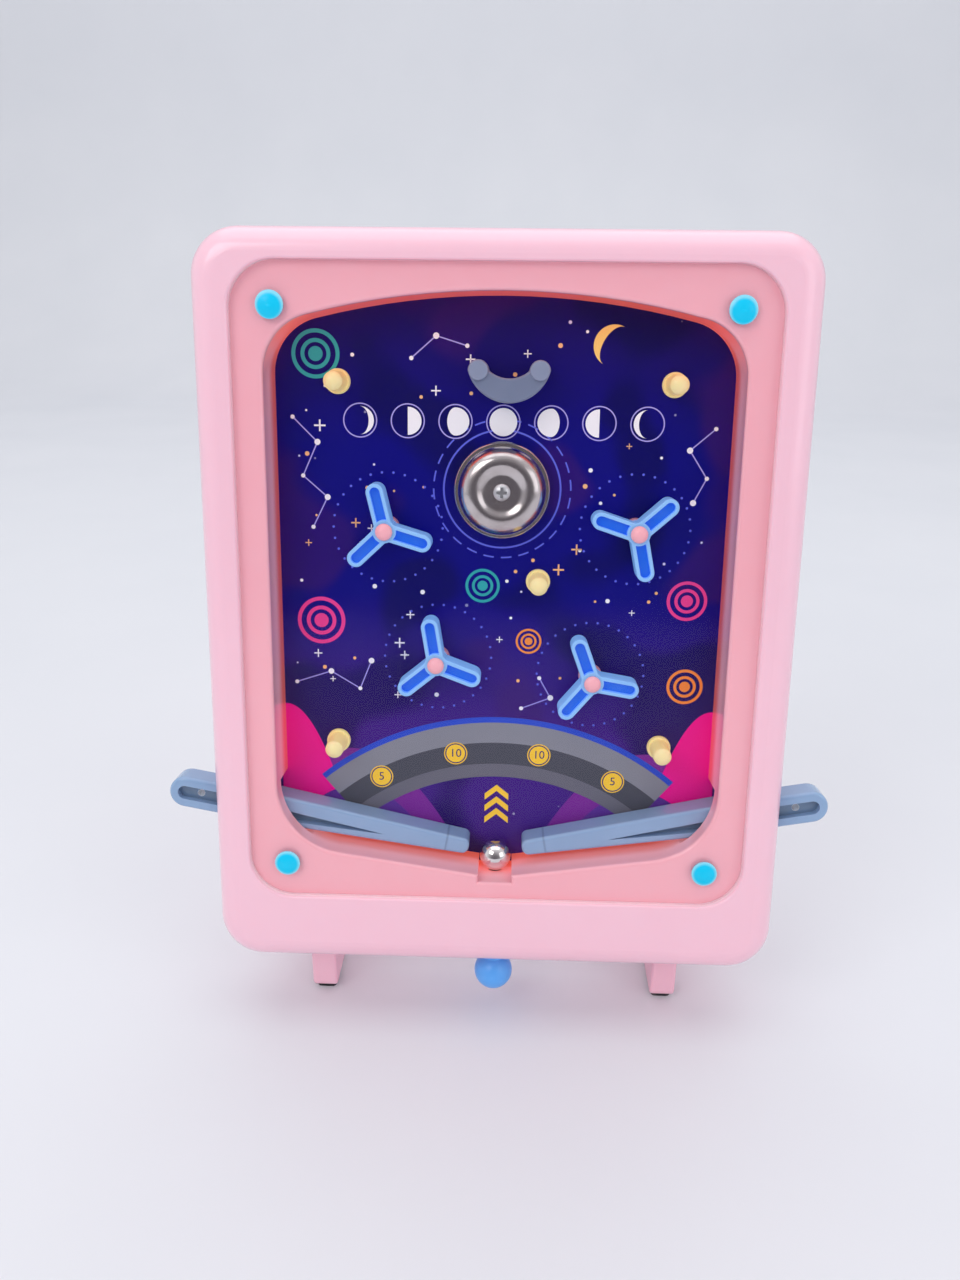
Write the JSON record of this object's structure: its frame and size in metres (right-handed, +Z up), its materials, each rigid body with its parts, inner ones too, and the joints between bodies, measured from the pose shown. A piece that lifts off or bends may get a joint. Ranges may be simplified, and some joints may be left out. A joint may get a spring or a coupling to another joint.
{
  "type": "tabletop pinball game",
  "caption": "Upright pink plastic tabletop pinball case on swing-out feet, with a clear cover, side flippers, spinners, pegs, a bell, a catch cup, a ball and a pull plunger.",
  "frame": {"origin": "middle of the base, on the surface that the foot pads rest on", "axes": "+X to the right seen from the front, +Y to the back, +Z up; the face looks to -Y and leans back 8 degrees"},
  "size_m": [0.2272, 0.096, 0.2676],
  "materials": {
    "case_pink": "glossy moulded plastic",
    "clear_sheet": "clear polished sheet",
    "rivet_blue": "glossy moulded plastic",
    "panel_board": "plain moulded sheet",
    "print": "glossy printed sheet",
    "peg_cream": "glossy moulded plastic",
    "cup_grey": "glossy moulded plastic",
    "bell_chrome": "plated, polished",
    "steel": "plain drawn steel",
    "spinner_blue": "glossy moulded plastic",
    "pin_pink": "glossy moulded plastic",
    "lever_grey": "glossy moulded plastic",
    "ball_steel": "polished steel",
    "knob_blue": "glossy moulded plastic",
    "guide_white": "plain moulded plastic",
    "pad_rubber": "soft matt rubber"
  },
  "bodies": {
    "case": {"front_frame": "case_pink", "back_cover": "case_pink", "clear_cover": "clear_sheet", "cover_rivets": "rivet_blue", "playfield_panel": "panel_board", "playfield_print": "print", "panel_screws": "steel", "cover_screws": "steel", "peg_upper_left": "peg_cream", "peg_upper_right": "peg_cream", "peg_centre": "peg_cream", "peg_lower_left": "peg_cream", "peg_lower_right": "peg_cream", "catch_cup": "cup_grey", "bell_post": "guide_white", "bell": "bell_chrome", "bell_screw": "steel", "spinner_pin_upper_left": "pin_pink", "spinner_pin_upper_right": "pin_pink", "spinner_pin_lower_left": "pin_pink", "spinner_pin_lower_right": "pin_pink", "flipper_pin_left": "steel", "flipper_pin_right": "steel", "plunger_bush": "guide_white", "plunger_spring": "steel", "foot_pin_left": "steel", "foot_pin_right": "steel"},
    "flipper_left": {"flipper_left": "lever_grey"},
    "flipper_right": {"flipper_right": "lever_grey"},
    "spinner_upper_left": {"spinner_upper_left": "spinner_blue"},
    "spinner_upper_right": {"spinner_upper_right": "spinner_blue"},
    "spinner_lower_left": {"spinner_lower_left": "spinner_blue"},
    "spinner_lower_right": {"spinner_lower_right": "spinner_blue"},
    "plunger": {"plunger_rod": "steel", "plunger_collar": "guide_white", "plunger_knob": "knob_blue"},
    "ball": {"ball": "ball_steel"},
    "foot_left": {"foot_left": "case_pink", "foot_pads_left": "pad_rubber"},
    "foot_right": {"foot_right": "case_pink", "foot_pads_right": "pad_rubber"}
  },
  "joints": [
    {"name": "flipper_left_pivot", "type": "hinge", "parent": "case", "child": "flipper_left", "pos_m": [-0.086, -0.02667, 0.07989], "axis": [0, -0.9903, 0.1392], "range_deg": [0, 20]},
    {"name": "flipper_right_pivot", "type": "hinge", "parent": "case", "child": "flipper_right", "pos_m": [0.086, -0.02667, 0.07989], "axis": [0, 0.9903, -0.1392], "range_deg": [0, 20]},
    {"name": "spinner_upper_left_spin", "type": "hinge", "parent": "case", "child": "spinner_upper_left", "pos_m": [-0.03789, -0.01328, 0.17516], "axis": [0, -0.9903, 0.1392], "continuous": true},
    {"name": "spinner_upper_right_spin", "type": "hinge", "parent": "case", "child": "spinner_upper_right", "pos_m": [0.04443, -0.0132, 0.17573], "axis": [0, -0.9903, 0.1392], "continuous": true},
    {"name": "spinner_lower_left_spin", "type": "hinge", "parent": "case", "child": "spinner_lower_left", "pos_m": [-0.02095, -0.01945, 0.13124], "axis": [0, -0.9903, 0.1392], "continuous": true},
    {"name": "spinner_lower_right_spin", "type": "hinge", "parent": "case", "child": "spinner_lower_right", "pos_m": [0.03136, -0.02018, 0.12603], "axis": [0, -0.9903, 0.1392], "continuous": true},
    {"name": "plunger_pull", "type": "slide", "parent": "case", "child": "plunger", "axis": [0, -0.1392, -0.9903], "range_m": [0, 0.008], "stiffness_N_per_m": 400, "springref_m": -0.004, "deforming": ["plunger_spring"]},
    {"name": "ball_launch", "type": "slide", "parent": "case", "child": "ball", "axis": [0, 0.1392, 0.9903], "range_m": [0, 0.04]},
    {"name": "foot_left_fold", "type": "hinge", "parent": "case", "child": "foot_left", "pos_m": [-0.063, -0.00396, 0.04741], "axis": [0, -0.1392, -0.9903], "range_deg": [0, 90]},
    {"name": "foot_right_fold", "type": "hinge", "parent": "case", "child": "foot_right", "pos_m": [0.063, -0.00396, 0.04741], "axis": [0, 0.1392, 0.9903], "range_deg": [0, 90]}
  ]
}
